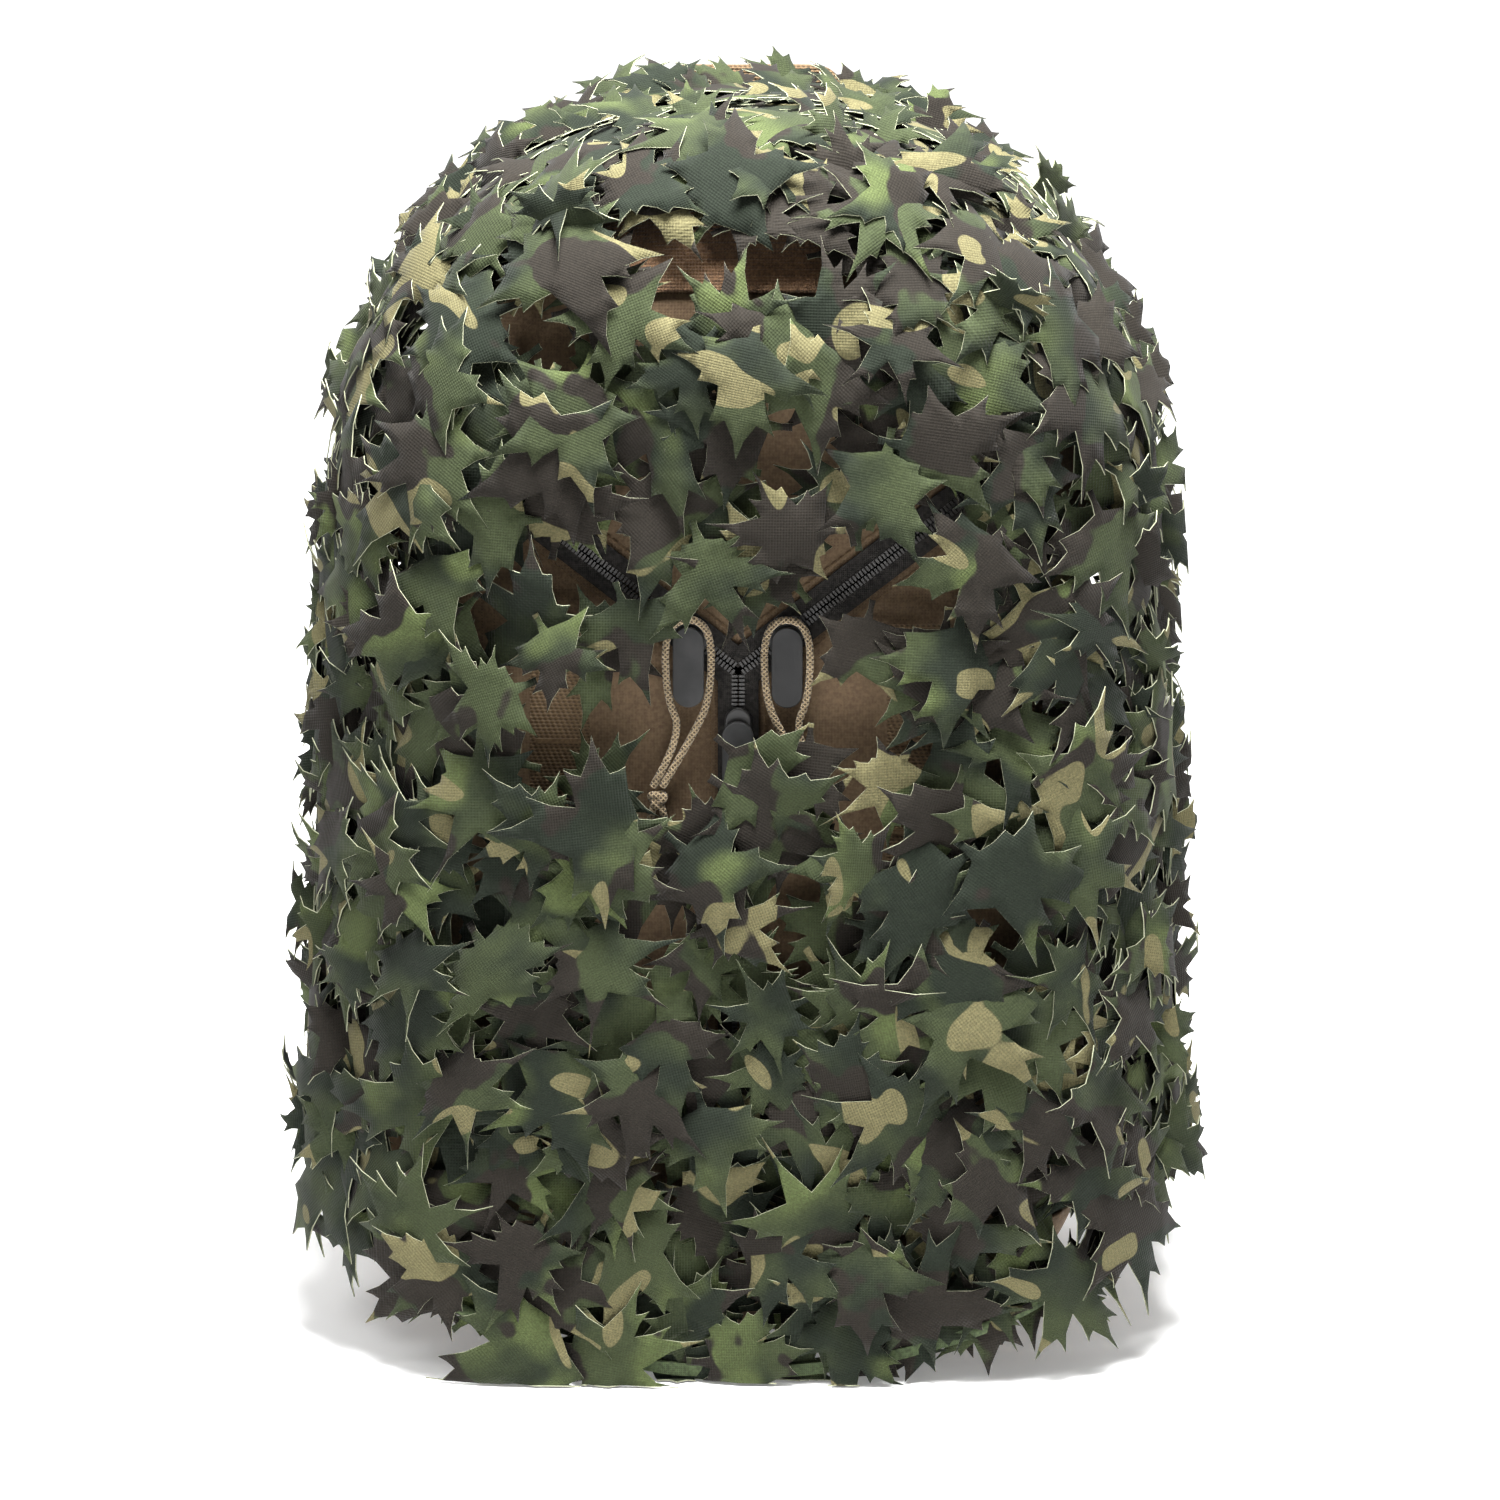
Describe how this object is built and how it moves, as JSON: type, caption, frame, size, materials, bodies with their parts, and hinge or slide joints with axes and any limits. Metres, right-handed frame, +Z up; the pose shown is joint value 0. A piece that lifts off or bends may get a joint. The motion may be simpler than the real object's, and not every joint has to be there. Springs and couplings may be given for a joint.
{
  "type": "field pack with camouflage cover",
  "caption": "Three-zip field backpack in coyote cloth, wearing a laser-cut leaf camouflage cover that pulls off forwards and up.",
  "frame": {"origin": "on the floor, under the middle of the pack's flat bottom", "axes": "+Z up, -Y towards the front that carries the zips, +Y towards the wearer's back, +X to the right as seen from the front"},
  "size_m": [0.376, 0.3156, 0.536],
  "materials": {
    "pack_cloth": "coyote woven nylon",
    "pack_webbing": "coyote webbing",
    "zip_tape": "black woven zip tape",
    "zip_metal": "black satin",
    "pull_plastic": "black moulded",
    "pull_cord": "tan braided cord",
    "loop_cloth": "brushed loop pile",
    "buckle_plastic": "coyote moulded",
    "pad_mesh": "spacer mesh over foam",
    "frame_plastic": "black sheet",
    "stay_metal": "satin",
    "lining_cloth": "light lining",
    "cover_cloth": "leaf camouflage print",
    "cover_hem": "dark green binding"
  },
  "bodies": {
    "pack": {"back_panel": "pack_cloth", "bottom_pan": "pack_cloth", "top_yoke": "pack_cloth", "left_side_panel": "pack_cloth", "right_side_panel": "pack_cloth", "left_side_pocket": "pack_cloth", "right_side_pocket": "pack_cloth", "left_compression_strap": "pack_webbing", "right_compression_strap": "pack_webbing", "left_buckle_socket": "buckle_plastic", "right_buckle_socket": "buckle_plastic", "lower_front_straps": "pack_webbing", "strap_glides": "buckle_plastic", "frame_sheet": "frame_plastic", "frame_stay": "stay_metal", "hydration_sleeve": "lining_cloth", "upper_back_pad": "pad_mesh", "lumbar_pad": "pad_mesh", "left_shoulder_strap": "pad_mesh", "right_shoulder_strap": "pad_mesh", "ladder_locks": "buckle_plastic", "lower_webbings": "pack_webbing", "load_lifters": "pack_webbing", "sternum_straps": "pack_webbing", "sternum_socket": "buckle_plastic", "handle_base": "pack_webbing"},
    "top_flap": {"top_flap_panel": "pack_cloth", "top_zip_half": "zip_tape", "loop_field": "loop_cloth", "lid_pocket_zip": "zip_tape"},
    "left_flap": {"left_flap_panel": "pack_cloth", "left_zip_half": "zip_tape", "left_front_webbing": "pack_webbing"},
    "right_flap": {"right_flap_panel": "pack_cloth", "right_zip_half": "zip_tape", "right_front_webbing": "pack_webbing"},
    "left_zip_slider": {"left_slider": "zip_metal"},
    "right_zip_slider": {"right_slider": "zip_metal"},
    "center_zip_slider": {"center_slider": "zip_metal"},
    "left_pull": {"left_pull_tab": "pull_plastic", "left_pull_cord": "pull_cord", "left_cord_knot": "pull_cord"},
    "right_pull": {"right_pull_tab": "pull_plastic", "right_pull_cord": "pull_cord", "right_cord_knot": "pull_cord"},
    "center_pull": {"center_pull_tab": "pull_plastic"},
    "lid_zip_slider": {"lid_pocket_slider": "zip_metal"},
    "haul_handle": {"haul_handle": "pack_webbing"},
    "left_buckle": {"left_buckle_plug": "buckle_plastic"},
    "right_buckle": {"right_buckle_plug": "buckle_plastic"},
    "sternum_buckle": {"sternum_plug": "buckle_plastic"},
    "cover": {"cover_front": "cover_cloth", "cover_top": "cover_cloth", "cover_left": "cover_cloth", "cover_right": "cover_cloth", "cover_rear_hem": "cover_hem", "cover_lower_hem": "cover_hem"}
  },
  "joints": [
    {"name": "cover_pull_off", "type": "slide", "parent": "pack", "child": "cover", "axis": [0, -0.7071, 0.7071], "range_m": [0, 0.55]},
    {"name": "top_flap_open", "type": "hinge", "parent": "pack", "child": "top_flap", "pos_m": [0, 0.07, 0.505], "axis": [-1, 0, 0], "range_deg": [0, 100]},
    {"name": "left_flap_open", "type": "hinge", "parent": "pack", "child": "left_flap", "pos_m": [-0.15, -0.052, 0.2], "axis": [0, 0, -1], "range_deg": [0, 65]},
    {"name": "right_flap_open", "type": "hinge", "parent": "pack", "child": "right_flap", "pos_m": [0.15, -0.052, 0.2], "axis": [0, 0, 1], "range_deg": [0, 65]},
    {"name": "left_zip_run", "type": "slide", "parent": "top_flap", "child": "left_zip_slider", "axis": [-0.788, 0, 0.6157], "range_m": [0, 0.064]},
    {"name": "right_zip_run", "type": "slide", "parent": "top_flap", "child": "right_zip_slider", "axis": [0.788, 0, 0.6157], "range_m": [0, 0.064]},
    {"name": "center_zip_run", "type": "slide", "parent": "left_flap", "child": "center_zip_slider", "axis": [0, 0, -1], "range_m": [0, 0.2]},
    {"name": "left_pull_swing", "type": "hinge", "parent": "left_zip_slider", "child": "left_pull", "pos_m": [-0.02049, -0.1229, 0.32001], "axis": [0, 1, 0], "range_deg": [-3, 35]},
    {"name": "right_pull_swing", "type": "hinge", "parent": "right_zip_slider", "child": "right_pull", "pos_m": [0.02049, -0.1229, 0.32001], "axis": [0, -1, 0], "range_deg": [-3, 35]},
    {"name": "center_pull_swing", "type": "hinge", "parent": "center_zip_slider", "child": "center_pull", "pos_m": [0, -0.1229, 0.28], "axis": [0, 1, 0], "range_deg": [-10, 10]},
    {"name": "lid_zip_run", "type": "slide", "parent": "top_flap", "child": "lid_zip_slider", "axis": [1, 0, 0], "range_m": [0, 0.1]},
    {"name": "haul_handle_fold", "type": "hinge", "parent": "pack", "child": "haul_handle", "pos_m": [0, 0.1204, 0.486], "axis": [-1, 0, 0], "range_deg": [0, 170]},
    {"name": "left_buckle_release", "type": "slide", "parent": "pack", "child": "left_buckle", "axis": [0, -1, 0], "range_m": [0, 0.018]},
    {"name": "right_buckle_release", "type": "slide", "parent": "pack", "child": "right_buckle", "axis": [0, -1, 0], "range_m": [0, 0.018]},
    {"name": "sternum_release", "type": "slide", "parent": "pack", "child": "sternum_buckle", "axis": [1, 0, 0], "range_m": [0, 0.018]}
  ],
  "couplings": [
    {"joint": "top_flap_open", "follows": "cover_pull_off", "rad_per_m": 3.1728},
    {"joint": "left_flap_open", "follows": "cover_pull_off", "rad_per_m": 2.0622},
    {"joint": "right_flap_open", "follows": "cover_pull_off", "rad_per_m": 2.0622},
    {"joint": "left_zip_run", "follows": "cover_pull_off", "ratio": 0.1163},
    {"joint": "right_zip_run", "follows": "cover_pull_off", "ratio": 0.1163},
    {"joint": "center_zip_run", "follows": "cover_pull_off", "ratio": 0.3635}
  ]
}
